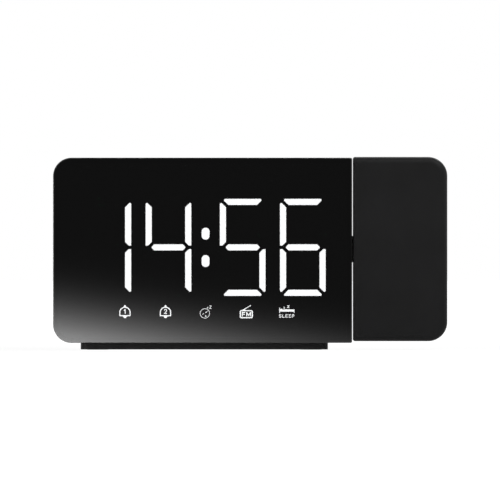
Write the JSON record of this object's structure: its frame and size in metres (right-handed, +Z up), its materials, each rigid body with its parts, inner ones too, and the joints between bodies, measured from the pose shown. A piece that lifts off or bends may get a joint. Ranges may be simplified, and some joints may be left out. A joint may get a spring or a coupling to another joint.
{
  "type": "projection alarm clock",
  "caption": "Low desk alarm clock with a wide dark digital display, a projector head that swivels on its right end, keys in the top, a rear loudspeaker and a pedestal.",
  "frame": {"origin": "on the surface the clock stands on, under the middle of its overall box", "axes": "+X to the right as seen from the front, through the swivel; +Y to the back, the display faces -Y; +Z up"},
  "size_m": [0.186, 0.036, 0.0909],
  "materials": {
    "smoked_panel": "high gloss, dark tinted acrylic",
    "black_film": "matt black printed film",
    "milky_guide": "satin milky acrylic, lit from behind",
    "dark_guide": "satin acrylic, unlit",
    "reflector_grey": "matt dark grey",
    "housing_black": "fine spark texture",
    "head_black": "fine spark texture",
    "key_black": "satin",
    "inner_black": "as moulded",
    "board_green": "solder mask",
    "component_black": "epoxy moulding",
    "zinc_steel": "zinc plated",
    "spring_steel": "blued spring steel",
    "nickel": "nickel plated",
    "ferrite": "sintered, dull",
    "cone_paper": "pressed paper",
    "rubber": "soft, dull",
    "cable_jacket": "smooth",
    "optical_glass": "polished",
    "key_ink": "pad-printed ink",
    "case_ink": "pad-printed ink",
    "label_foil": "satin foil"
  },
  "bodies": {
    "clock_body": {"front_panel": "smoked_panel", "display_film": "black_film", "digit_reflector": "reflector_grey", "lit_bars": "milky_guide", "unlit_bars": "dark_guide", "icon_guides": "milky_guide", "display_diodes": "milky_guide", "display_board": "board_green", "display_screws": "zinc_steel", "front_housing": "housing_black", "rear_housing": "housing_black", "housing_screws": "zinc_steel", "main_board": "board_green", "main_board_parts": "component_black", "main_board_screws": "zinc_steel", "board_header": "component_black", "key_board": "board_green", "key_switches": "component_black", "key_ribbon": "cable_jacket", "speaker_frame": "zinc_steel", "speaker_magnet": "ferrite", "speaker_cone": "cone_paper", "coin_cell": "nickel", "cell_contact_negative": "nickel", "cell_contact_positive": "nickel", "dc_jack": "component_black", "antenna_grommet": "rubber", "pedestal": "housing_black", "rubber_pads": "rubber", "pedestal_screws": "zinc_steel", "friction_washer": "spring_steel", "swivel_cable_body": "cable_jacket"},
    "head": {"swivel_hub": "inner_black", "hub_screws": "zinc_steel", "retaining_clip": "spring_steel", "swivel_cable_head": "cable_jacket", "head_front_shell": "head_black", "head_rear_cover": "head_black", "head_screws": "zinc_steel", "projector_board": "board_green", "projector_leads": "cable_jacket", "lens_barrel": "inner_black", "projector_lamp": "board_green", "condenser_lens": "optical_glass", "lcd_slide": "optical_glass"},
    "battery_cover": {"battery_cover": "key_black"},
    "focus_ring": {"focus_ring": "key_black"},
    "lens_cell": {"lens_cell": "inner_black", "objective_lens": "optical_glass"},
    "key_alarm_one": {"key_alarm_one": "key_black"},
    "key_alarm_two": {"key_alarm_two": "key_black"},
    "key_set": {"key_set": "key_black"},
    "snooze_bar": {"snooze_bar": "key_black"},
    "key_minus": {"key_minus": "key_black"},
    "key_plus": {"key_plus": "key_black"},
    "key_projector": {"key_projector": "key_black"}
  },
  "joints": [
    {"name": "head_swivel", "type": "hinge", "parent": "clock_body", "child": "head", "pos_m": [0.0483, 0, 0.04745], "axis": [1, 0, 0], "range_deg": [-90, 90]},
    {"name": "key_alarm_one_press", "type": "slide", "parent": "clock_body", "child": "key_alarm_one", "axis": [0, 0, -1], "range_m": [0, 0.0005], "stiffness_N_per_m": 300, "springref_m": -0.001},
    {"name": "key_alarm_two_press", "type": "slide", "parent": "clock_body", "child": "key_alarm_two", "axis": [0, 0, -1], "range_m": [0, 0.0005], "stiffness_N_per_m": 300, "springref_m": -0.001},
    {"name": "key_set_press", "type": "slide", "parent": "clock_body", "child": "key_set", "axis": [0, 0, -1], "range_m": [0, 0.0005], "stiffness_N_per_m": 300, "springref_m": -0.001},
    {"name": "snooze_bar_press", "type": "slide", "parent": "clock_body", "child": "snooze_bar", "axis": [0, 0, -1], "range_m": [0, 0.0005], "stiffness_N_per_m": 300, "springref_m": -0.001},
    {"name": "key_minus_press", "type": "slide", "parent": "clock_body", "child": "key_minus", "axis": [0, 0, -1], "range_m": [0, 0.0005], "stiffness_N_per_m": 300, "springref_m": -0.001},
    {"name": "key_plus_press", "type": "slide", "parent": "clock_body", "child": "key_plus", "axis": [0, 0, -1], "range_m": [0, 0.0005], "stiffness_N_per_m": 300, "springref_m": -0.001},
    {"name": "key_projector_press", "type": "slide", "parent": "clock_body", "child": "key_projector", "axis": [0, 0, -1], "range_m": [0, 0.0005], "stiffness_N_per_m": 300, "springref_m": -0.001},
    {"name": "battery_cover_turn", "type": "hinge", "parent": "clock_body", "child": "battery_cover", "pos_m": [-0.01995, 0.0165, 0.0502], "axis": [0, 1, 0], "range_deg": [0, 45]},
    {"name": "focus_turn", "type": "hinge", "parent": "head", "child": "focus_ring", "pos_m": [0.07075, 0, 0.0883], "axis": [0, 0, 1], "range_deg": [0, 180]},
    {"name": "lens_slide", "type": "slide", "parent": "head", "child": "lens_cell", "axis": [0, 0, -1], "range_m": [0, 0.002]}
  ],
  "couplings": [
    {"joint": "focus_turn", "follows": "lens_slide", "rad_per_m": 1570.8}
  ]
}
